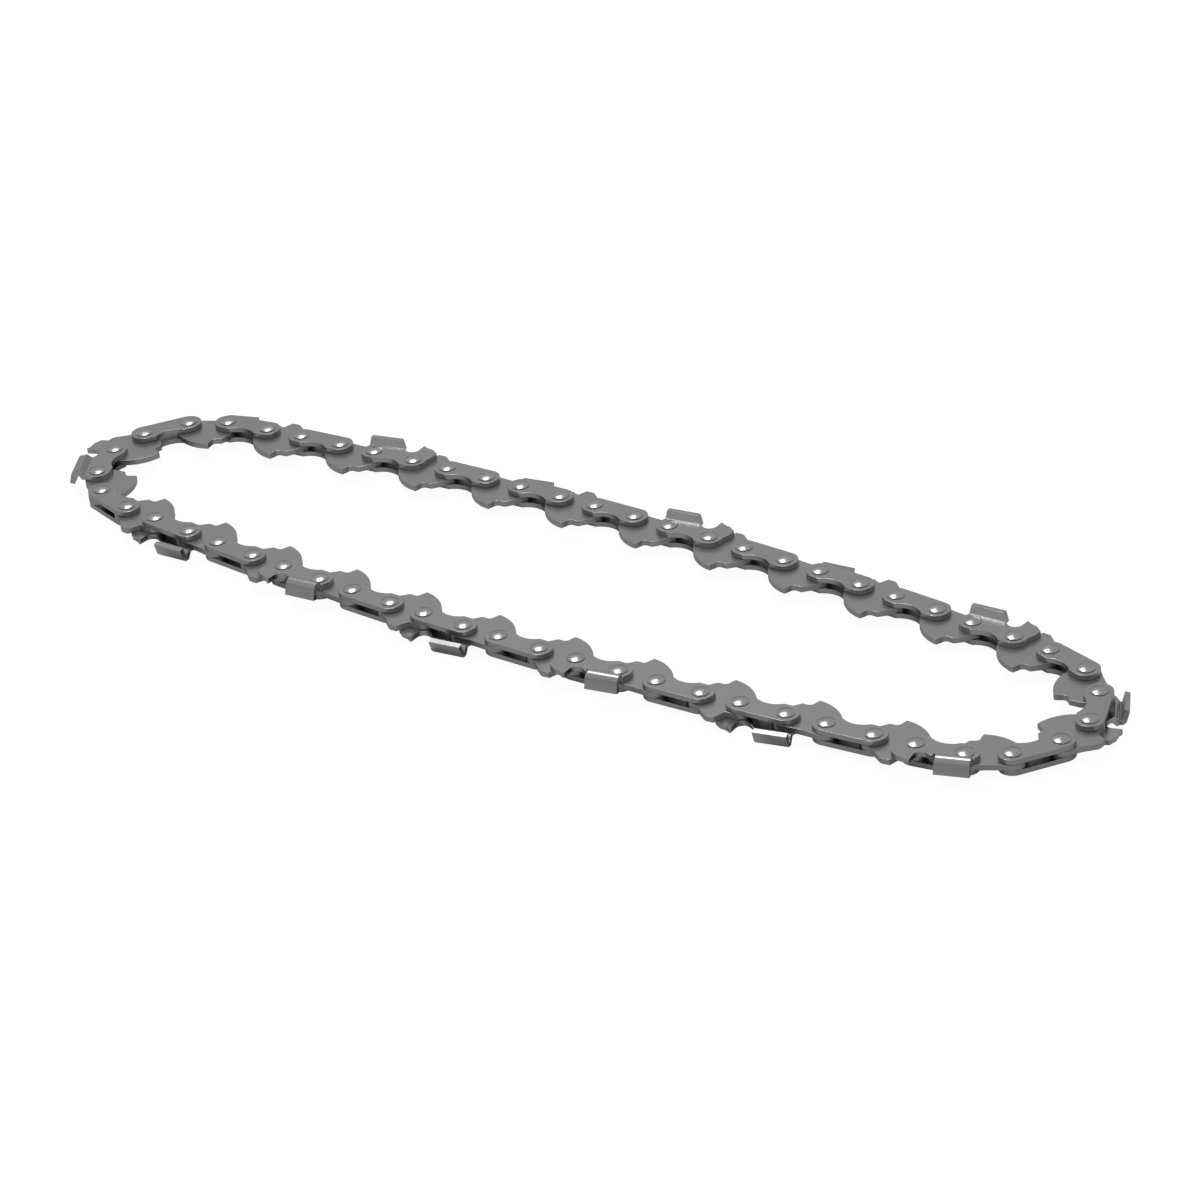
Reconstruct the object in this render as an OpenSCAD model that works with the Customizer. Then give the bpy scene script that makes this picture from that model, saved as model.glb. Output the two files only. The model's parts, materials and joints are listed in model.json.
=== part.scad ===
// A closed loop of low-profile chainsaw chain, lying flat on its side.
// The long axis of the loop is X, +Z is up, and z = 0 is the plane that it rests on.
// Links are numbered along the direction of travel, clockwise seen from above.
// Even links are outer links: two side plates and the two rivets that hold them.
// Odd links are drive links, which turn on the hubs of those rivets.

/* [Chain] */
// Rivet spacing over one outer link and one drive link together
double_pitch = 19.05; // [18.6:0.01:19.5]
// Rivet spacing of an outer link
outer_span = 10.18; // [9.9:0.01:10.5]
// Number of drive links in the loop
drive_link_count = 28; // [16:4:28]

/* [Loop shape] */
// Turn in degrees at each rivet along the long sides
side_turn = 0.63; // [0.3:0.01:1.2]
// Rivet position of the middle of the end bend
bend_middle = 3.282; // [3.0:0.01:3.6]
// Half width of the end bend, in rivets
bend_half_width = 3.844; // [3.5:0.01:4.2]
// Number of rivets over which the bend fades into the side
bend_fade = 1.562; // [1.0:0.01:2.0]

/* [Plates] */
// Thickness of a drive link, which is the gauge of the chain
gauge = 1.27; // [1.1:0.01:1.6]
// Thickness of a tie strap and of a cutter
plate_t = 1.1; // [0.9:0.01:1.4]
// Gap between a drive link and the plate beside it
side_gap = 0.03; // [0.02:0.01:0.08]
// Radius of the round ends of the straps and cutters
strap_eye_r = 2.86; // [2.6:0.01:3.1]
// Depth of the waist on the inner edge of a strap
waist_depth = 1.15; // [0.6:0.01:1.5]
// Radius of the waist arc
waist_r = 5; // [3.5:0.1:8]

/* [Rivets] */
// Radius of the hub that a drive link turns on
hub_r = 2.1; // [1.9:0.01:2.3]
// Radius of the shank through the plates
shank_r = 1.3; // [1.1:0.01:1.5]
// Radius of the formed head
head_r = 1.85; // [1.65:0.01:2]
// Height of the formed head
head_h = 0.5; // [0.35:0.01:0.58]
// Height of the straight rim under the dome of a head
head_rim_h = 0.14; // [0.08:0.01:0.24]
// Radial clearance of the hub in a drive link
hub_gap = 0.05; // [0.03:0.01:0.1]
// Clearance that keeps a rivet and its plates separate solids
seat_gap = 0.02; // [0.01:0.005:0.03]

/* [Drive links] */
// Radius of the round ends of a drive link
drive_eye_r = 2.9; // [2.7:0.01:3.1]
// Depth of the tang below the rivet line
tang_depth = 8.2; // [7.4:0.01:8.8]
// Distance of the tip of the tang in front of the middle of the link
tang_tip_x = 1.35; // [0.8:0.01:1.8]
// Radius of the curved back edge of the tang
tang_back_r = 9.4; // [9.3:0.1:12]
// Radius of the scoop in front of the tip
scoop_r = 1.05; // [0.8:0.01:1.3]
// Depth of the scoop's top below the rivet line
scoop_top = 5.95; // [5.4:0.01:6.3]
// Dip of the outer edge of a plain drive link
outer_dip = 0.25; // [0.1:0.01:0.4]
// Height of the hump of a bumper drive link above the rivet line
bumper_h = 5.7; // [4.8:0.01:6.2]
// Length of the flat on top of the hump
bumper_flat = 1.6; // [1.0:0.05:2.4]

/* [Cutters] */
// Height of the free edge of the top plate at its front, above the rivet line
corner_h = 6.6; // [6.1:0.01:7.2]
// Distance of the front of the top plate behind the middle of the link
corner_back = 1.1; // [0.5:0.01:1.7]
// Length of the top plate along its free edge
top_plate_l = 7.05; // [6.2:0.01:7.4]
// Width of the top plate across the chain, from the crest to its free edge
top_plate_w = 3.2; // [2.7:0.01:3.8]
// Slope in degrees of the top plate down to its heel
top_relief = 9; // [4:0.5:11]
// Lean in degrees of the top plate, outwards to its free edge
plate_lean = 15; // [8:0.5:22]
// Inner radius of the fold between the crest and the top plate
fold_inner_r = 0.3; // [0.2:0.01:0.8]
// Height of the crest above the strap
crest_rise = 1.34; // [1.1:0.01:1.5]
// Width of the flat land on the crest
land_w = 0.6; // [0.4:0.01:0.9]
// Width of the wall that slopes up to the crest
wall_run = 0.9; // [0.6:0.01:1.1]
// Height at which the front edge turns down to the gullet
shoulder_h = 4.6; // [4.2:0.01:5.2]
// Distance of the foot of the front edge in front of the middle of the link
front_foot_x = 1.15; // [0.6:0.01:1.3]
// Radius of the gullet
gullet_r = 1.65; // [1.4:0.01:1.75]
// Depth of the gullet below the edge of the strap
gullet_dip = 0.35; // [0.1:0.01:0.6]
// Distance of the back of the depth gauge behind the leading rivet
gauge_back = 1.1; // [0.8:0.01:1.4]
// Height of the depth gauge above the rivet line
depth_gauge_h = 6.1; // [5.4:0.01:6.5]
// Reach of the depth gauge in front of the leading rivet
depth_gauge_reach = 3.3; // [2.8:0.01:3.5]

/* [Hidden] */
$fn = 48;
drive_span = double_pitch - outer_span;
link_count = 2 * drive_link_count;
half_count = drive_link_count;
plate_z = gauge / 2 + side_gap;
stack_half = plate_z + plate_t;
crest_z = stack_half + crest_rise;
mid_z = max(crest_z, stack_half + seat_gap + head_h);
overlap = 0.01;

outer_x = outer_span / 2;
drive_x = drive_span / 2;

// Where a tang, a hump or a depth gauge begins on a round end: its angle, and the share of the radius.
// The share is under one, so that no corner lies exactly on the arc.
join_share = 0.98;
tang_join_angle = 14.5;
bumper_join_angle = 83;
gauge_join_angle = 12;

// Turning angles: an even bend at each end that fades into the long sides.
function wrapped(j) = j - half_count * round(j / half_count);
function bend_share(j) = min(1, max(0, (bend_half_width - abs(wrapped(j - bend_middle))) / bend_fade));
function total(v, i = 0) = i < len(v) ? v[i] + total(v, i + 1) : 0;
bend_shares = [for (j = [0:half_count - 1]) bend_share(j)];
bend_turn = (180 - half_count * side_turn) / total(bend_shares);
function turn_at(j) = side_turn + bend_turn * bend_shares[j % half_count];

// The link in the middle of a long side travels along X.
side_middle = round(bend_middle + half_count / 2);
start_heading = total([for (j = [1:side_middle - 1]) turn_at(j)]) + turn_at(side_middle) / 2;
headings = [for (i = 0, h = start_heading; i < link_count; h = h - turn_at(i + 1), i = i + 1) h];

function span_of(i) = i % 2 == 0 ? outer_span : drive_span;
function step_of(i) = span_of(i) * [cos(headings[i]), sin(headings[i])];
raw_rivets = [for (i = 0, p = [0, 0]; i <= link_count; p = p + step_of(min(i, link_count - 1)), i = i + 1) p];
loop_centre = (raw_rivets[0] + raw_rivets[half_count]) / 2;
function rivet_at(i) = raw_rivets[i] - loop_centre;

// Kinds of link: 0 strap pair, 1 upper cutter, 2 lower cutter, 3 plain and 4 bumper drive link.
function kind_of(i) = i % 2 == 1 ? (i % 4 == 3 ? 4 : 3) : i % 8 == 2 ? 1 : i % 8 == 6 ? 2 : 0;
function number_in(i, size) = floor(i / size) + 1;
function two_digits(n) = n < 10 ? str("0", n) : str(n);
function node_name(i) =
    kind_of(i) == 0 ? str("strap_link_", two_digits(number_in(i, 4)))
    : kind_of(i) == 1 ? str("upper_cutter_link_", two_digits(number_in(i, 8)))
    : kind_of(i) == 2 ? str("lower_cutter_link_", two_digits(number_in(i, 8)))
    : kind_of(i) == 3 ? str("drive_link_", two_digits(number_in(i, 4)))
    : str("bumper_drive_link_", two_digits(number_in(i, 4)));

// Two round ends joined by a straight bar.
module bar_outline(half_span, eye_r) {
    square([2 * half_span, 2 * eye_r], center = true);
    for (side = [-1, 1]) {
        translate([side * half_span, 0]) circle(r = eye_r);
    }
}

// Outline of a tie strap, with the arched inner edge that clears the bar.
module strap_outline() {
    difference() {
        bar_outline(outer_x, strap_eye_r);
        translate([0, -strap_eye_r + waist_depth - waist_r]) circle(r = waist_r);
    }
}

module plate_holes() {
    for (side = [-1, 1]) {
        translate([side * outer_x, 0, -overlap]) {
            cylinder(r = shank_r + seat_gap, h = plate_t + 2 * overlap);
        }
    }
}

module tie_strap() {
    color([0.50, 0.50, 0.50])
    translate([0, 0, plate_z])
    difference() {
        linear_extrude(plate_t) strap_outline();
        plate_holes();
    }
}

// Half section of a rivet: hub, shanks and the two domed heads.
module rivet_half_section() {
    hub_half = plate_z - seat_gap;
    head_base = stack_half + seat_gap;
    dome_h = head_h - head_rim_h;
    dome_r = (head_r * head_r + dome_h * dome_h) / (2 * dome_h);
    translate([0, -hub_half]) square([hub_r, 2 * hub_half]);
    translate([0, -head_base]) square([shank_r, 2 * head_base]);
    for (side = [0, 1]) {
        mirror([0, side]) {
            translate([0, head_base - overlap]) square([shank_r, 2 * overlap]);
            translate([0, head_base]) square([head_r, head_rim_h]);
            intersection() {
                translate([0, head_base + head_rim_h + dome_h - dome_r]) circle(r = dome_r, $fn = 96);
                translate([0, head_base + head_rim_h - overlap]) square([head_r, dome_h + 2 * overlap]);
            }
        }
    }
}

module rivet() {
    color([0.56, 0.56, 0.57]) rotate_extrude() rivet_half_section();
}

module rivet_pair() {
    for (side = [-1, 1]) {
        translate([side * outer_x, 0, 0]) rivet();
    }
}

// Tang of a drive link: curved back, pointed tip and a scoop in front of it.
module tang_outline() {
    join = join_share * drive_eye_r * [cos(tang_join_angle), -sin(tang_join_angle)];
    heel = [-drive_x - join[0], join[1]];
    tip = [tang_tip_x, -tang_depth];
    chord = tip - heel;
    chord_l = norm(chord);
    to_centre = sqrt(tang_back_r * tang_back_r - chord_l * chord_l / 4);
    back_centre = (heel + tip) / 2 + to_centre * [-chord[1], chord[0]] / chord_l;
    tip_flat = 0.155 * drive_eye_r;
    scoop_x = tang_tip_x + tip_flat + scoop_r;
    shoulder = drive_eye_r * [0.38, 0.6];
    below = -2 * tang_depth;
    difference() {
        intersection() {
            polygon([heel,
                     [heel[0], below],
                     [tip[0], below],
                     tip,
                     [scoop_x - scoop_r, -scoop_top - scoop_r],
                     [scoop_x, -scoop_top],
                     [drive_x - tip_flat, -scoop_top],
                     [drive_x + shoulder[0], -scoop_top + shoulder[1]],
                     [drive_x + join[0], join[1]]]);
            translate(back_centre) circle(r = tang_back_r, $fn = 96);
        }
        translate([scoop_x, -scoop_top - scoop_r]) circle(r = scoop_r);
    }
}

// Hump of a bumper drive link, which leads wood up to the depth gauge behind it.
module bumper_outline() {
    back_foot_x = -drive_x + drive_eye_r / 5;
    crown = bumper_flat / 20;
    front_corner = bumper_flat * [0.34, -0.1];
    knee = drive_eye_r * [-0.55, 1.31];
    join = join_share * drive_eye_r * [cos(bumper_join_angle), sin(bumper_join_angle)];
    polygon([[back_foot_x, 0],
             [-bumper_flat, bumper_h],
             [0, bumper_h + crown],
             [0, bumper_h] + front_corner,
             [drive_x, 0] + knee,
             [drive_x, 0] + join,
             [drive_x, 0]]);
}

// Shallow dip in the outer edge of a plain drive link.
module dip_outline() {
    dip_chord = drive_span - 0.4 * drive_eye_r;
    dip_r = (dip_chord * dip_chord / 4 + outer_dip * outer_dip) / (2 * outer_dip);
    translate([0, drive_eye_r - outer_dip + dip_r]) circle(r = dip_r, $fn = 192);
}

module drive_outline(bumper) {
    difference() {
        bar_outline(drive_x, drive_eye_r);
        if (!bumper) {
            dip_outline();
        }
    }
    tang_outline();
}

module drive_link(bumper) {
    color([0.47, 0.47, 0.48])
    difference() {
        translate([0, 0, -gauge / 2]) {
            linear_extrude(gauge) drive_outline(bumper);
            if (bumper) {
                linear_extrude(gauge) bumper_outline();
            }
        }
        for (side = [-1, 1]) {
            translate([side * drive_x, 0, -gauge]) cylinder(r = hub_r + hub_gap, h = 2 * gauge);
        }
    }
}

// Gullet between the cutting edge and the depth gauge.
gullet_x = outer_x - gauge_back - gullet_r;
gullet_y = strap_eye_r - gullet_dip + gullet_r;

// Depth gauge: a small corner at its back, a top that slopes forward, and a nose over the leading rivet.
module depth_gauge_outline() {
    back_x = outer_x - gauge_back;
    front_x = outer_x + depth_gauge_reach;
    corner = 0.06 * depth_gauge_reach;
    slope_drop = 0.15 * depth_gauge_reach;
    knee = depth_gauge_reach * [0.51, -0.23];
    nose_drop = 0.55 * depth_gauge_reach;
    join = join_share * strap_eye_r * [cos(gauge_join_angle), sin(gauge_join_angle)];
    polygon([[gullet_x, 0],
             [gullet_x, gullet_y - gullet_r],
             [gullet_x + gullet_r, gullet_y],
             [back_x, depth_gauge_h - corner],
             [back_x + corner, depth_gauge_h],
             [outer_x, depth_gauge_h - slope_drop],
             [outer_x, depth_gauge_h] + knee,
             [front_x, depth_gauge_h - nose_drop],
             [front_x, 0.86 * strap_eye_r],
             [outer_x, 0] + join,
             [outer_x, 0]]);
}

// Front end of the blade seen from its side: straight across, then down to the gullet.
module blade_outline() {
    back_x = -2 * top_plate_l;
    above = 2 * corner_h;
    polygon([[back_x, 0],
             [front_foot_x, 0],
             [front_foot_x, strap_eye_r],
             [-corner_back, shoulder_h],
             [-corner_back, above],
             [back_x, above]]);
}

// Quarter of a disc in which the top plate folds over, from the crest to its lean.
module fold_wedge(r) {
    intersection() {
        circle(r = r);
        polygon([[0, 0],
                 [0, 2 * r],
                 [2 * r, 2 * r],
                 2 * r * [cos(plate_lean), sin(plate_lean)]]);
    }
}

// Section across the chain, from the free edge of the top plate at zero:
// a foot in the plane of the strap, a sloping wall, a flat land, a fold and the top plate.
module blade_section() {
    fold_r = fold_inner_r + plate_t;
    out = [cos(plate_lean), sin(plate_lean)];
    down = [sin(plate_lean), -cos(plate_lean)];
    fold_z = crest_z - fold_r;
    straight_l = (fold_z + fold_r * out[1] - crest_z + top_plate_w) / cos(plate_lean);
    fold_x = -fold_r * out[0] - straight_l * down[0];
    fold_end = [fold_x, fold_z] + fold_r * out;
    fold_end_in = [fold_x, fold_z] + fold_inner_r * out;
    bend_shift = plate_t * tan(atan2(crest_rise, wall_run) / 2);
    land_x = fold_x - max(land_w, bend_shift);
    foot_x = land_x - wall_run;
    foot_back_x = foot_x - strap_eye_r / 3;
    difference() {
        union() {
            translate([fold_x, fold_z]) fold_wedge(fold_r);
            polygon([[foot_back_x, plate_z],
                     [foot_back_x, stack_half],
                     [foot_x, stack_half],
                     [land_x, crest_z],
                     [fold_x, crest_z],
                     fold_end,
                     fold_end + straight_l * down,
                     fold_end_in + straight_l * down,
                     [foot_x + bend_shift, plate_z]]);
        }
        union() {
            translate([fold_x, fold_z]) fold_wedge(fold_inner_r);
            polygon([[foot_x + bend_shift, plate_z - top_plate_w],
                     [foot_x + bend_shift, plate_z],
                     [land_x + bend_shift, crest_z - plate_t],
                     [fold_x, crest_z - plate_t],
                     fold_end_in,
                     fold_end_in + 2 * straight_l * down]);
        }
    }
}

// Blade swept along the slope of its top plate, with its heel square to it.
module blade() {
    sweep_l = top_plate_l + gullet_x + corner_back;
    intersection() {
        translate([-corner_back, corner_h, 0])
        rotate([0, 0, top_relief])
        translate([-top_plate_l, 0, 0])
        rotate([90, 0, 90])
        linear_extrude(sweep_l) blade_section();
        translate([0, 0, -mid_z]) linear_extrude(3 * mid_z) blade_outline();
    }
}

module cutter() {
    color([0.53, 0.53, 0.54])
    difference() {
        union() {
            translate([0, 0, plate_z]) linear_extrude(plate_t) strap_outline();
            translate([0, 0, plate_z]) linear_extrude(plate_t) depth_gauge_outline();
            blade();
        }
        translate([gullet_x, gullet_y, 0]) cylinder(r = gullet_r, h = 2 * stack_half);
        translate([0, 0, plate_z]) plate_holes();
    }
}

// One outer link: two plates and their rivets, each a solid of its own.
module strap_link() {
    tie_strap();
    mirror([0, 0, 1]) tie_strap();
    rivet_pair();
}

module cutter_link() {
    cutter();
    mirror([0, 0, 1]) tie_strap();
    rivet_pair();
}

module link(i) {
    middle = (rivet_at(i) + rivet_at(i + 1)) / 2;
    translate([middle[0], middle[1], mid_z])
    rotate([0, 0, headings[i]]) {
        if (kind_of(i) == 0) {
            strap_link();
        }
        if (kind_of(i) == 1) {
            cutter_link();
        }
        if (kind_of(i) == 2) {
            mirror([0, 0, 1]) cutter_link();
        }
        if (kind_of(i) >= 3) {
            drive_link(kind_of(i) == 4);
        }
    }
}

for (i = [0:link_count - 1]) {
    link(i);
}
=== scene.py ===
"""Chainsaw chain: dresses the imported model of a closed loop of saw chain, then lights and frames it."""

import json
import logging
import math
from dataclasses import dataclass
from enum import Enum

import bmesh
import bpy
from mathutils import Matrix, Vector


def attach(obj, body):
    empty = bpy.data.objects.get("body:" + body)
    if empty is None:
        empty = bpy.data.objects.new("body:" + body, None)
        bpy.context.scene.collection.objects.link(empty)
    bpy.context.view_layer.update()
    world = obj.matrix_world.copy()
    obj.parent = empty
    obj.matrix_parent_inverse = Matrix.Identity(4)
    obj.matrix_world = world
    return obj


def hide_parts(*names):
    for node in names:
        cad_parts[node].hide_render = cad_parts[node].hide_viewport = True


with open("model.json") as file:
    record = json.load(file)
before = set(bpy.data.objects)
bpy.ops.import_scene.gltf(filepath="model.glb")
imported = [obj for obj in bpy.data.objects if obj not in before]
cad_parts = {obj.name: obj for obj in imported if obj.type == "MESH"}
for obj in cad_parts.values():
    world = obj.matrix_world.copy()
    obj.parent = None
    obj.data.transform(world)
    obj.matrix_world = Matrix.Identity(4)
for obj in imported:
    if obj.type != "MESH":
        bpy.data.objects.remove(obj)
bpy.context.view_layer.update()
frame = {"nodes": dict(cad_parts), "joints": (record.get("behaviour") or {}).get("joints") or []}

MM = 0.001
LINKS_PER_REPEAT = 8

logging.basicConfig(level=logging.INFO, format="%(message)s")
log = logging.getLogger("saw_chain")


def linear_colour(code: str) -> tuple[float, float, float, float]:
    """Turns an sRGB hex colour into the linear values that the shaders take.

    Args:
        code: The colour as "#rrggbb".

    Returns:
        Red, green, blue and an opacity of one, linear.
    """
    parts = [int(code[start:start + 2], 16) / 255 for start in (1, 3, 5)]
    red, green, blue = [
        part / 12.92 if part <= 0.04045 else ((part + 0.055) / 1.055) ** 2.4 for part in parts
    ]
    return (red, green, blue, 1.0)


def add_node(
    tree: bpy.types.NodeTree,
    kind: str,
    settings: dict[str, object] | None = None,
    values: dict[str | int, object] | None = None,
    links: dict[str | int, bpy.types.NodeSocket] | None = None,
) -> bpy.types.Node:
    """Adds a node with its settings, socket values and incoming links.

    Args:
        tree: The node tree to add to.
        kind: The node's type name.
        settings: Properties of the node itself.
        values: Default values of its inputs, by name or index.
        links: Sockets that feed its inputs, by name or index.

    Returns:
        The new node.
    """
    node = tree.nodes.new(kind)
    for name, value in (settings or {}).items():
        setattr(node, name, value)
    for name, value in (values or {}).items():
        node.inputs[name].default_value = value
    for name, socket in (links or {}).items():
        tree.links.new(socket, node.inputs[name])
    return node


class LinkKind(Enum):
    """The kinds of link in the loop. Each value begins the names of that kind's nodes."""

    STRAP = "strap_link"
    UPPER_CUTTER = "upper_cutter_link"
    LOWER_CUTTER = "lower_cutter_link"
    DRIVE = "drive_link"
    BUMPER = "bumper_drive_link"

    @classmethod
    def at(cls, index: int) -> "LinkKind":
        """Gives the kind of link at a place in the loop.

        Args:
            index: The link's number, from zero, along the direction of travel.

        Returns:
            Its kind. Outer and drive links take turns. Every second outer link is a cutter, on the
            upper and the lower side by turns, and the drive link in front of it has the bumper.
        """
        repeat = (
            cls.STRAP, cls.DRIVE, cls.UPPER_CUTTER, cls.BUMPER,
            cls.STRAP, cls.DRIVE, cls.LOWER_CUTTER, cls.BUMPER,
        )
        return repeat[index % LINKS_PER_REPEAT]

    @property
    def spacing(self) -> int:
        """How many links there are from one of this kind to the next."""
        once = self in (LinkKind.UPPER_CUTTER, LinkKind.LOWER_CUTTER)
        return LINKS_PER_REPEAT if once else LINKS_PER_REPEAT // 2

    @property
    def is_drive(self) -> bool:
        """Whether this is a single drive link, and not a pair of plates."""
        return self in (LinkKind.DRIVE, LinkKind.BUMPER)


@dataclass(frozen=True)
class SatinSteel:
    """Hardened carbon steel with a satin face that is slightly cloudy and finely grained.

    The cloudiness is what heat treatment and tumbling leave, so both its colour and its gloss wander
    over a few millimetres, and the grain is the fine pitting of tumbled strip. The grain is drawn
    several times coarser than the real pitting, so that it shows in a render.
    """

    name: str
    base: str
    shade: str
    gloss: tuple[float, float]
    cloud_mm: float = 3.0
    cloud_detail: float = 4.0
    cloud_roughness: float = 0.6
    grain_mm: float = 0.22
    grain_detail: float = 2.0
    grain_roughness: float = 0.5
    grain_depth_mm: float = 0.006
    grain_strength: float = 0.5
    grain_in_gloss: float = 0.35
    gloss_band: tuple[float, float] = (0.35, 1.0)

    def build(self) -> bpy.types.Material:
        """Makes the material from cloud and grain patterns on object coordinates.

        Returns:
            The finished material.
        """
        material = bpy.data.materials.new(self.name)
        material.use_nodes = True
        tree = material.node_tree
        shader = tree.nodes["Principled BSDF"]
        shader.inputs["Metallic"].default_value = 1.0
        place = add_node(tree, "ShaderNodeTexCoord").outputs["Object"]
        cloud = add_node(
            tree,
            "ShaderNodeTexNoise",
            values={
                "Scale": 1 / (self.cloud_mm * MM),
                "Detail": self.cloud_detail,
                "Roughness": self.cloud_roughness,
            },
            links={"Vector": place},
        )
        grain = add_node(
            tree,
            "ShaderNodeTexNoise",
            values={
                "Scale": 1 / (self.grain_mm * MM),
                "Detail": self.grain_detail,
                "Roughness": self.grain_roughness,
            },
            links={"Vector": place},
        )
        colour = add_node(
            tree,
            "ShaderNodeMix",
            settings={"data_type": "RGBA"},
            values={6: linear_colour(self.base), 7: linear_colour(self.shade)},
            links={0: cloud.outputs["Fac"]},
        )
        both = add_node(
            tree,
            "ShaderNodeMath",
            settings={"operation": "MULTIPLY_ADD"},
            values={1: self.grain_in_gloss},
            links={0: grain.outputs["Fac"], 2: cloud.outputs["Fac"]},
        )
        gloss = add_node(
            tree,
            "ShaderNodeMapRange",
            values=dict(enumerate((*self.gloss_band, *self.gloss), start=1)),
            links={0: both.outputs[0]},
        )
        bump = add_node(
            tree,
            "ShaderNodeBump",
            values={"Strength": self.grain_strength, "Distance": self.grain_depth_mm * MM},
            links={"Height": grain.outputs["Fac"]},
        )
        tree.links.new(colour.outputs[2], shader.inputs["Base Color"])
        tree.links.new(gloss.outputs[0], shader.inputs["Roughness"])
        tree.links.new(bump.outputs[0], shader.inputs["Normal"])
        return material


@dataclass(frozen=True)
class LinkPlace:
    """Where one link of the loop lies."""

    node: str
    kind: LinkKind
    middle: Vector
    heading: float
    span: float

    def to_own_frame(self) -> Matrix:
        """Gives the move from the loop's frame to the link's own, with X along its travel."""
        return Matrix.Rotation(-self.heading, 4, "Z") @ Matrix.Translation(-self.middle)


@dataclass(frozen=True)
class RivetLine:
    """The rivets of the loop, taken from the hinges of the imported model.

    One pivot has no hinge, because the loop is opened there. The loop looks the same after half a
    turn, so that rivet lies opposite the one half a loop away.
    """

    link_count: int
    hinge_prefix: str = "rivet_"

    def axes(self) -> list[Vector]:
        """Gives the middle of each rivet, in order of travel."""
        found = {
            int(joint["name"].removeprefix(self.hinge_prefix)): Vector(joint["pos_m"])
            for joint in frame["joints"]
        }
        for number in range(self.link_count):
            if number not in found:
                across = found[(number + self.link_count // 2) % self.link_count]
                found[number] = Vector((-across.x, -across.y, across.z))
        return [found[number] for number in range(self.link_count)]

    def links(self) -> list[LinkPlace]:
        """Works out the place of each link from the two rivets at its ends.

        Returns:
            The links in order of travel.
        """
        axes = self.axes()
        places = []
        for index, start in enumerate(axes):
            end = axes[(index + 1) % self.link_count]
            kind = LinkKind.at(index)
            reach = end - start
            places.append(
                LinkPlace(
                    node=f"{kind.value}_{index // kind.spacing + 1:02d}",
                    kind=kind,
                    middle=(start + end) / 2,
                    heading=math.atan2(reach.y, reach.x),
                    span=reach.length,
                )
            )
        return places


@dataclass(frozen=True)
class PressedEdge:
    """The rounded edge that tumbling leaves on a blanked or formed piece."""

    radius_mm: float
    steps: int = 2
    corner_deg: float = 38.0
    crease_deg: float = 20.0
    flat_deg: float = 0.6

    def finish(self, name: str, shape: bmesh.types.BMesh) -> bpy.types.Object:
        """Rounds the corners of a solid and shades it, as one pattern piece.

        Args:
            name: The pattern piece's name.
            shape: The solid in its link's own frame. It is freed.

        Returns:
            The pattern piece, for the Geometry Nodes trees to copy.
        """
        bmesh.ops.dissolve_limit(
            shape,
            angle_limit=math.radians(self.flat_deg),
            verts=shape.verts,
            edges=shape.edges,
        )
        mesh = bpy.data.meshes.new(name)
        shape.to_mesh(mesh)
        shape.free()
        rough = bpy.data.objects.new(name + "_rough", mesh)
        bpy.context.scene.collection.objects.link(rough)
        rounding = rough.modifiers.new("rounding", "BEVEL")
        rounding.width = self.radius_mm * MM
        rounding.segments = self.steps
        rounding.limit_method = "ANGLE"
        rounding.angle_limit = math.radians(self.corner_deg)
        rounding.use_clamp_overlap = True
        finished = plain_mesh(rough)
        bpy.data.objects.remove(rough)
        finished.shade_smooth()
        finished.set_sharp_from_angle(angle=math.radians(self.crease_deg))
        piece = bpy.data.objects.new(name, finished)
        bpy.context.scene.collection.objects.link(piece)
        return piece


def plain_mesh(host: bpy.types.Object) -> bpy.types.Mesh:
    """Evaluates an object's modifiers into a mesh of its own.

    Args:
        host: The object that carries the modifiers.

    Returns:
        The evaluated mesh, with no modifier left to run.
    """
    graph = bpy.context.evaluated_depsgraph_get()
    graph.update()
    return bpy.data.meshes.new_from_object(host.evaluated_get(graph))


def split_solids(node: str, place: LinkPlace, weld_mm: float = 0.001) -> list[bmesh.types.BMesh]:
    """Copies a node's mesh to its link's own frame and splits it into its separate solids.

    Args:
        node: The node to copy.
        place: Where its link lies.
        weld_mm: How close two corners are merged.

    Returns:
        One welded solid each, lowest first. Solids of one height stay in the order of their corners.
    """
    whole = bmesh.new()
    whole.from_mesh(frame["nodes"][node].data)
    bmesh.ops.transform(whole, matrix=place.to_own_frame(), verts=whole.verts)
    bmesh.ops.remove_doubles(whole, verts=whole.verts, dist=weld_mm * MM)
    whole.verts.ensure_lookup_table()
    groups = []
    seen = set()
    for first in whole.verts:
        if first.index in seen:
            continue
        group = set()
        waiting = [first]
        while waiting:
            vertex = waiting.pop()
            if vertex.index not in group:
                group.add(vertex.index)
                waiting.extend(side.other_vert(vertex) for side in vertex.link_edges)
        seen |= group
        groups.append(group)
    solids = []
    for group in groups:
        solid = whole.copy()
        solid.verts.ensure_lookup_table()
        others = [vertex for vertex in solid.verts if vertex.index not in group]
        bmesh.ops.delete(solid, geom=others, context="VERTS")
        solids.append(solid)
    whole.free()
    return sorted(solids, key=middle_height)


def middle_height(solid: bmesh.types.BMesh) -> float:
    """Gives the height of the middle of a solid's box."""
    heights = [vertex.co.z for vertex in solid.verts]
    return (min(heights) + max(heights)) / 2


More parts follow.
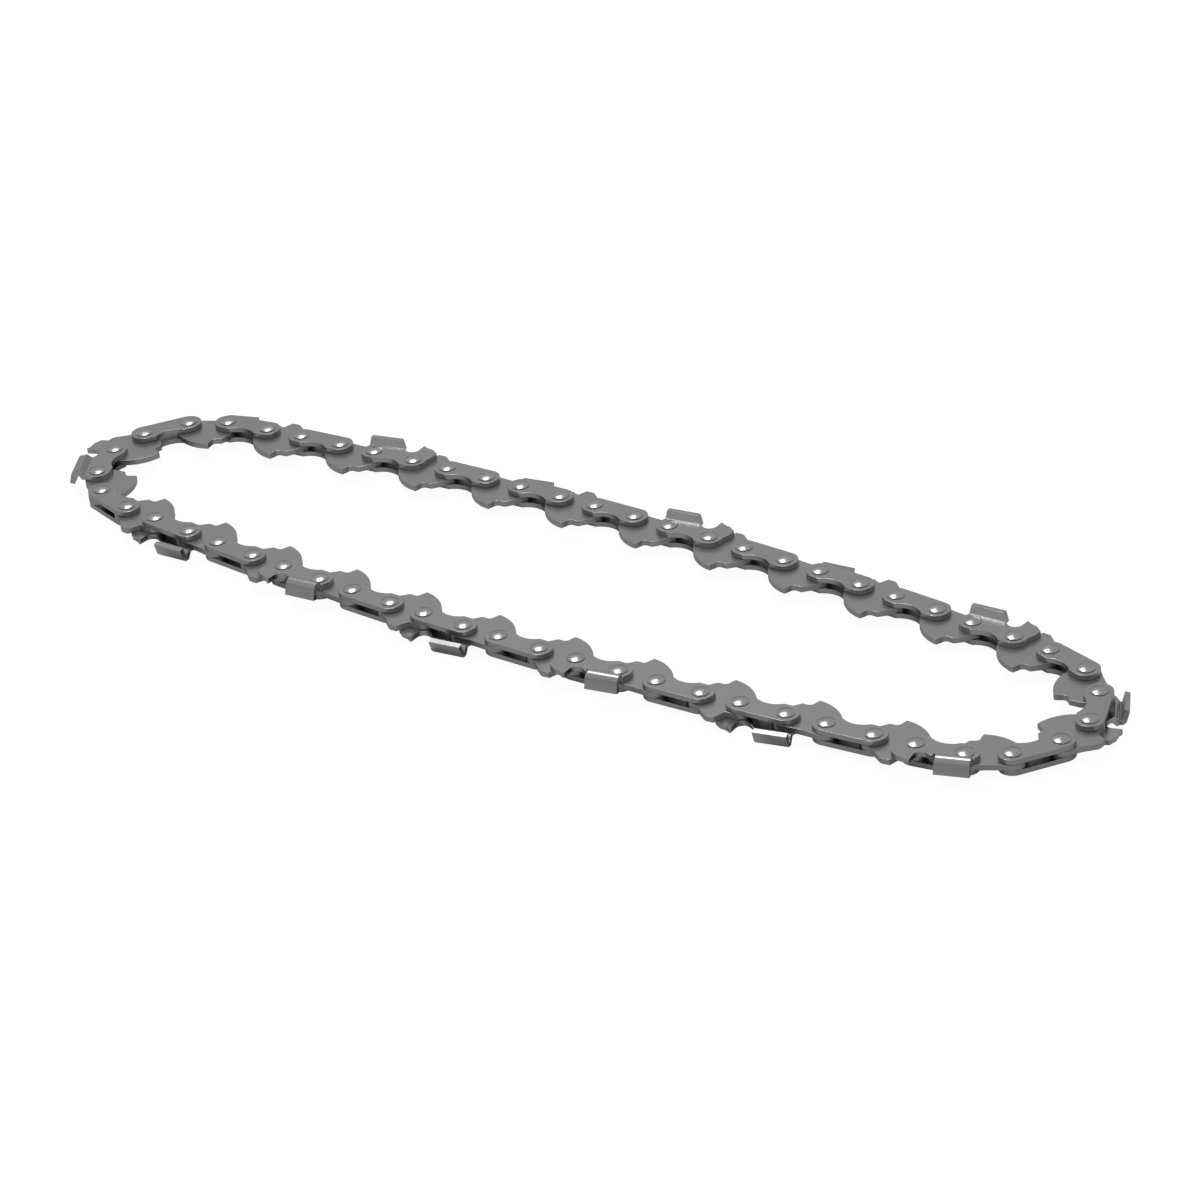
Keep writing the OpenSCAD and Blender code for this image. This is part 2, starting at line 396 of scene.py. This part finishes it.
@dataclass
class PlacingTree:
    """Geometry Nodes that set copies of a pattern piece along a link and put them in their place."""

    name: str
    copies: int = 1

    def build(self) -> bpy.types.NodeTree:
        """Builds the tree: a row of points, a copy on each, the move into place, and the finish.

        Returns:
            The tree, with its sizes as named inputs.
        """
        tree = bpy.data.node_groups.new(self.name, "GeometryNodeTree")
        sockets = {
            "Pattern piece": "NodeSocketObject",
            "Spacing": "NodeSocketFloat",
            "Middle": "NodeSocketVector",
            "Turn": "NodeSocketVector",
            "Finish": "NodeSocketMaterial",
        }
        for label, kind in sockets.items():
            tree.interface.new_socket(label, in_out="INPUT", socket_type=kind)
        tree.interface.new_socket("Geometry", in_out="OUTPUT", socket_type="NodeSocketGeometry")
        entry = add_node(tree, "NodeGroupInput").outputs
        piece = add_node(
            tree,
            "GeometryNodeObjectInfo",
            settings={"transform_space": "ORIGINAL"},
            links={"Object": entry["Pattern piece"]},
        )
        step = add_node(tree, "ShaderNodeCombineXYZ", links={"X": entry["Spacing"]})
        start = add_node(
            tree,
            "ShaderNodeVectorMath",
            settings={"operation": "SCALE"},
            values={"Scale": -0.5 * (self.copies - 1)},
            links={0: step.outputs[0]},
        )
        row = add_node(
            tree,
            "GeometryNodeMeshLine",
            settings={"mode": "OFFSET"},
            values={"Count": self.copies},
            links={"Start Location": start.outputs[0], "Offset": step.outputs[0]},
        )
        copies = add_node(
            tree,
            "GeometryNodeInstanceOnPoints",
            links={"Points": row.outputs[0], "Instance": piece.outputs["Geometry"]},
        )
        placed = add_node(
            tree,
            "GeometryNodeTransform",
            links={
                "Geometry": copies.outputs[0],
                "Translation": entry["Middle"],
                "Rotation": entry["Turn"],
            },
        )
        real = add_node(tree, "GeometryNodeRealizeInstances", links={"Geometry": placed.outputs[0]})
        dressed = add_node(
            tree,
            "GeometryNodeSetMaterial",
            links={"Geometry": real.outputs[0], "Material": entry["Finish"]},
        )
        add_node(tree, "NodeGroupOutput", links={"Geometry": dressed.outputs[0]})
        return tree

    def run(
        self,
        tree: bpy.types.NodeTree,
        name: str,
        pattern: bpy.types.Object,
        place: LinkPlace,
        finish: bpy.types.Material,
    ) -> bpy.types.Object:
        """Runs the tree for one link and keeps the result as a plain mesh.

        Args:
            tree: The tree that build() made.
            name: The finished piece's name.
            pattern: The pattern piece to copy.
            place: The link that it belongs to.
            finish: The material it gets.

        Returns:
            The piece, with its place in its mesh.
        """
        host = bpy.data.objects.new(name + "_host", bpy.data.meshes.new(name + "_host"))
        bpy.context.scene.collection.objects.link(host)
        modifier = host.modifiers.new("placing", "NODES")
        modifier.node_group = tree
        wanted = {
            "Pattern piece": pattern,
            "Spacing": place.span,
            "Middle": tuple(place.middle),
            "Turn": (0.0, 0.0, place.heading),
            "Finish": finish,
        }
        for item in tree.interface.items_tree:
            if item.in_out == "INPUT":
                modifier[item.identifier] = wanted[item.name]
        mesh = plain_mesh(host)
        host.modifiers.remove(modifier)
        bpy.data.objects.remove(host)
        mesh.name = name
        piece = bpy.data.objects.new(name, mesh)
        bpy.context.scene.collection.objects.link(piece)
        return piece


def seat_piece(piece: bpy.types.Object, node: str) -> None:
    """Makes a finished piece stand for its node and move with it.

    Args:
        piece: The finished piece.
        node: The node, which is also the body that the piece rides on.
    """
    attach(piece, node)
    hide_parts(node)
    log.info("%s: %d faces, rides on %s", piece.name, len(piece.data.polygons), node)


@dataclass
class DriveLinks:
    """The single links in the middle, whose tangs run in the bar and on the sprocket."""

    places: list[LinkPlace]
    edge: PressedEdge = PressedEdge(radius_mm=0.06)
    # Blanked from strip and tumbled: the dullest and darkest steel of the chain.
    steel: SatinSteel = SatinSteel("blanked_drive_link_steel", "#a3a3a4", "#979798", (0.26, 0.34))

    def build(self) -> None:
        """Makes one pattern piece of each kind and places a drive link at each of their places."""
        finish = self.steel.build()
        placing = PlacingTree("place_drive_link")
        tree = placing.build()
        patterns = {}
        for place in self.places:
            if place.kind not in patterns:
                solid = split_solids(place.node, place)[0]
                patterns[place.kind] = self.edge.finish(f"{place.kind.value}_pattern", solid)
            piece = placing.run(tree, place.node + "_plate", patterns[place.kind], place, finish)
            seat_piece(piece, place.node)
        for pattern in patterns.values():
            bpy.data.objects.remove(pattern)


@dataclass
class OuterLinks:
    """The outer links: tie straps and cutters, each a pair of plates held by two rivets."""

    places: list[LinkPlace]
    plate_edge: PressedEdge = PressedEdge(radius_mm=0.06)
    rivet_edge: PressedEdge = PressedEdge(radius_mm=0.04)
    # Blanked and tumbled as the drive links are, and a shade lighter.
    strap_steel: SatinSteel = SatinSteel("blanked_strap_steel", "#a5a5a6", "#99999a", (0.25, 0.33))
    # Plated against wear, so lighter and smoother: it takes the white line along the crest.
    cutter_steel: SatinSteel = SatinSteel("plated_cutter_steel", "#ababac", "#9f9fa0", (0.20, 0.28))
    # Formed cold under a smooth tool: the brightest, with a small sharp spot on each head.
    rivet_steel: SatinSteel = SatinSteel(
        "formed_rivet_steel", "#b2b2b3", "#a6a6a7", (0.18, 0.25), cloud_mm=1.2
    )

    def build(self) -> None:
        """Makes the pattern pieces of each kind and places plates and rivets at each link."""
        strap, cutter, rivet = (
            steel.build() for steel in (self.strap_steel, self.cutter_steel, self.rivet_steel)
        )
        one = PlacingTree("place_plate")
        pair = PlacingTree("place_rivet_pair", copies=2)
        one_tree, pair_tree = one.build(), pair.build()
        patterns = {}
        for place in self.places:
            if place.kind not in patterns:
                patterns[place.kind] = self.pattern_pieces(place)
            lower, upper, stud = patterns[place.kind]
            lower_cuts = place.kind is LinkKind.LOWER_CUTTER
            upper_cuts = place.kind is LinkKind.UPPER_CUTTER
            for side, pattern, cuts in (("lower", lower, lower_cuts), ("upper", upper, upper_cuts)):
                role = "cutter" if cuts else "strap"
                name = f"{place.node}_{side}_{role}"
                piece = one.run(one_tree, name, pattern, place, cutter if cuts else strap)
                seat_piece(piece, place.node)
            rivets = pair.run(pair_tree, place.node + "_rivets", stud, place, rivet)
            seat_piece(rivets, place.node)
        for pieces in patterns.values():
            for pattern in pieces:
                bpy.data.objects.remove(pattern)

    def pattern_pieces(self, place: LinkPlace) -> tuple[bpy.types.Object, ...]:
        """Makes the pattern pieces of one kind of outer link.

        Args:
            place: A link of that kind.

        Returns:
            Its lower plate, its upper plate, and a rivet with its axis on the origin.
        """
        lower, front_rivet, back_rivet, upper = split_solids(place.node, place)
        side = math.copysign(place.span / 2, sum(vertex.co.x for vertex in front_rivet.verts))
        bmesh.ops.translate(front_rivet, vec=(-side, 0, 0), verts=front_rivet.verts)
        back_rivet.free()
        kind = place.kind.value
        return (
            self.plate_edge.finish(kind + "_lower_pattern", lower),
            self.plate_edge.finish(kind + "_upper_pattern", upper),
            self.rivet_edge.finish(kind + "_rivet_pattern", front_rivet),
        )


@dataclass(frozen=True)
class PhotoCamera:
    """The camera fitted to the rivet heads of the photograph, in the loop's own frame."""

    focal_px: float = 4399.0
    picture_px: float = 1200.0
    sensor_mm: float = 36.0
    elevation_deg: float = 30.25
    roll_deg: float = -5.25
    heading_deg: float = 37.86
    distance_mm: float = 902.1
    right_mm: float = 6.58
    up_mm: float = -5.06
    plane_above_rivets_mm: float = 1.45
    nearest_m: float = 0.01

    def build(self, rivet_height: float) -> None:
        """Makes the camera and sets it as the scene's own.

        Args:
            rivet_height: The height of the rivets' middles, in metres.
        """
        elevation = math.radians(self.elevation_deg)
        roll = math.radians(self.roll_deg)
        forward = Vector((0, math.cos(elevation), -math.sin(elevation)))
        flat_right = Vector((1, 0, 0))
        flat_up = flat_right.cross(forward)
        right = flat_right * math.cos(roll) + flat_up * math.sin(roll)
        up = flat_up * math.cos(roll) - flat_right * math.sin(roll)
        place = (right * self.right_mm + up * self.up_mm - forward * self.distance_mm) * MM
        turn = Matrix.Rotation(math.radians(self.heading_deg), 3, "Z")
        axes = Matrix((turn @ right, turn @ up, turn @ -forward)).transposed().to_4x4()
        target = Vector((0, 0, rivet_height + self.plane_above_rivets_mm * MM))
        data = bpy.data.cameras.new("photo_camera")
        data.sensor_width = self.sensor_mm
        data.lens = self.focal_px / self.picture_px * self.sensor_mm
        data.clip_start = self.nearest_m
        camera = bpy.data.objects.new("photo_camera", data)
        bpy.context.scene.collection.objects.link(camera)
        camera.matrix_world = Matrix.Translation(turn @ place + target) @ axes
        bpy.context.scene.camera = camera


@dataclass(frozen=True)
class Softbox:
    """A large soft lamp that points at the middle of the loop."""

    name: str
    azimuth_deg: float
    elevation_deg: float
    distance_m: float
    width_m: float
    depth_m: float
    power_w: float

    def build(self) -> None:
        """Hangs the lamp. Its azimuth is counted from straight behind the loop, to the right."""
        behind = math.radians(90 + PhotoCamera.heading_deg - self.azimuth_deg)
        rise = math.radians(self.elevation_deg)
        direction = Vector(
            (math.cos(behind) * math.cos(rise), math.sin(behind) * math.cos(rise), math.sin(rise))
        )
        data = bpy.data.lights.new(self.name, "AREA")
        data.shape = "RECTANGLE"
        data.size = self.width_m
        data.size_y = self.depth_m
        data.energy = self.power_w
        lamp = bpy.data.objects.new(self.name, data)
        bpy.context.scene.collection.objects.link(lamp)
        lamp.matrix_world = (
            Matrix.Translation(direction * self.distance_m)
            @ direction.to_track_quat("Z", "Y").to_matrix().to_4x4()
        )


@dataclass(frozen=True)
class Studio:
    """The pale room: a dome that is darker at the horizon, two soft lamps and a white floor.

    The dark horizon keeps the upright faces below the flat ones. The camera sees the floor whiter
    than the steel does, with the chain's shadow on it only faint.
    """

    horizon: float = 0.33
    dome: float = 0.57
    dome_from_height: float = 0.42
    floor_colour: str = "#d6d6d6"
    floor_glow: float = 1.18
    floor_glow_share: float = 0.8
    floor_roughness: float = 0.9
    floor_size_m: float = 6.0
    floor_drop_mm: float = 0.1
    lamps: tuple[Softbox, ...] = (
        Softbox("behind", -8.0, 54.0, 0.9, 0.30, 0.15, 0.6),
        Softbox("high_left", -20.0, 72.0, 0.9, 0.32, 0.18, 1.5),
    )

    def build(self) -> None:
        """Sets the dome and the lamps, and lays the floor."""
        self.build_dome()
        for lamp in self.lamps:
            lamp.build()
        self.build_floor()

    def build_dome(self) -> None:
        """Sets the dome, which brightens from the horizon up to about 25 degrees above it."""
        world = bpy.data.worlds.new("studio")
        bpy.context.scene.world = world
        world.use_nodes = True
        tree = world.node_tree
        background = tree.nodes["Background"]
        background.inputs["Color"].default_value = (1, 1, 1, 1)
        direction = add_node(tree, "ShaderNodeTexCoord").outputs["Generated"]
        height = add_node(tree, "ShaderNodeSeparateXYZ", links={0: direction}).outputs["Z"]
        level = add_node(
            tree,
            "ShaderNodeMapRange",
            values={1: 0.0, 2: self.dome_from_height, 3: self.horizon, 4: self.dome},
            links={0: height},
        )
        tree.links.new(level.outputs[0], background.inputs["Strength"])

    def build_floor(self) -> None:
        """Lays the floor just under the chain's resting plane. It looks white and keeps the shadow."""
        place = (0, 0, -self.floor_drop_mm * MM)
        bpy.ops.mesh.primitive_plane_add(size=self.floor_size_m, location=place)
        floor = bpy.context.object
        floor.name = "floor"
        material = bpy.data.materials.new("matt_white_floor")
        material.use_nodes = True
        tree = material.node_tree
        shader = tree.nodes["Principled BSDF"]
        shader.inputs["Base Color"].default_value = linear_colour(self.floor_colour)
        shader.inputs["Roughness"].default_value = self.floor_roughness
        shader.inputs["Specular IOR Level"].default_value = 0.0
        glow = add_node(
            tree,
            "ShaderNodeEmission",
            values={"Color": (1, 1, 1, 1), "Strength": self.floor_glow},
        )
        seen = add_node(tree, "ShaderNodeLightPath").outputs["Is Camera Ray"]
        share = add_node(
            tree,
            "ShaderNodeMath",
            settings={"operation": "MULTIPLY"},
            values={1: self.floor_glow_share},
            links={0: seen},
        )
        whitened = add_node(
            tree,
            "ShaderNodeMixShader",
            links={0: share.outputs[0], 1: shader.outputs[0], 2: glow.outputs[0]},
        )
        tree.links.new(whitened.outputs[0], tree.nodes["Material Output"].inputs["Surface"])
        floor.data.materials.append(material)


def main() -> None:
    """Builds the links in order, then the studio and the camera."""
    links = RivetLine(link_count=len(frame["nodes"])).links()
    DriveLinks([place for place in links if place.kind.is_drive]).build()
    OuterLinks([place for place in links if not place.kind.is_drive]).build()
    Studio().build()
    PhotoCamera().build(links[0].middle.z)
    bpy.context.scene.view_settings.view_transform = "Standard"
    log.info("%d links dressed", len(links))


if __name__ == "__main__":
    main()
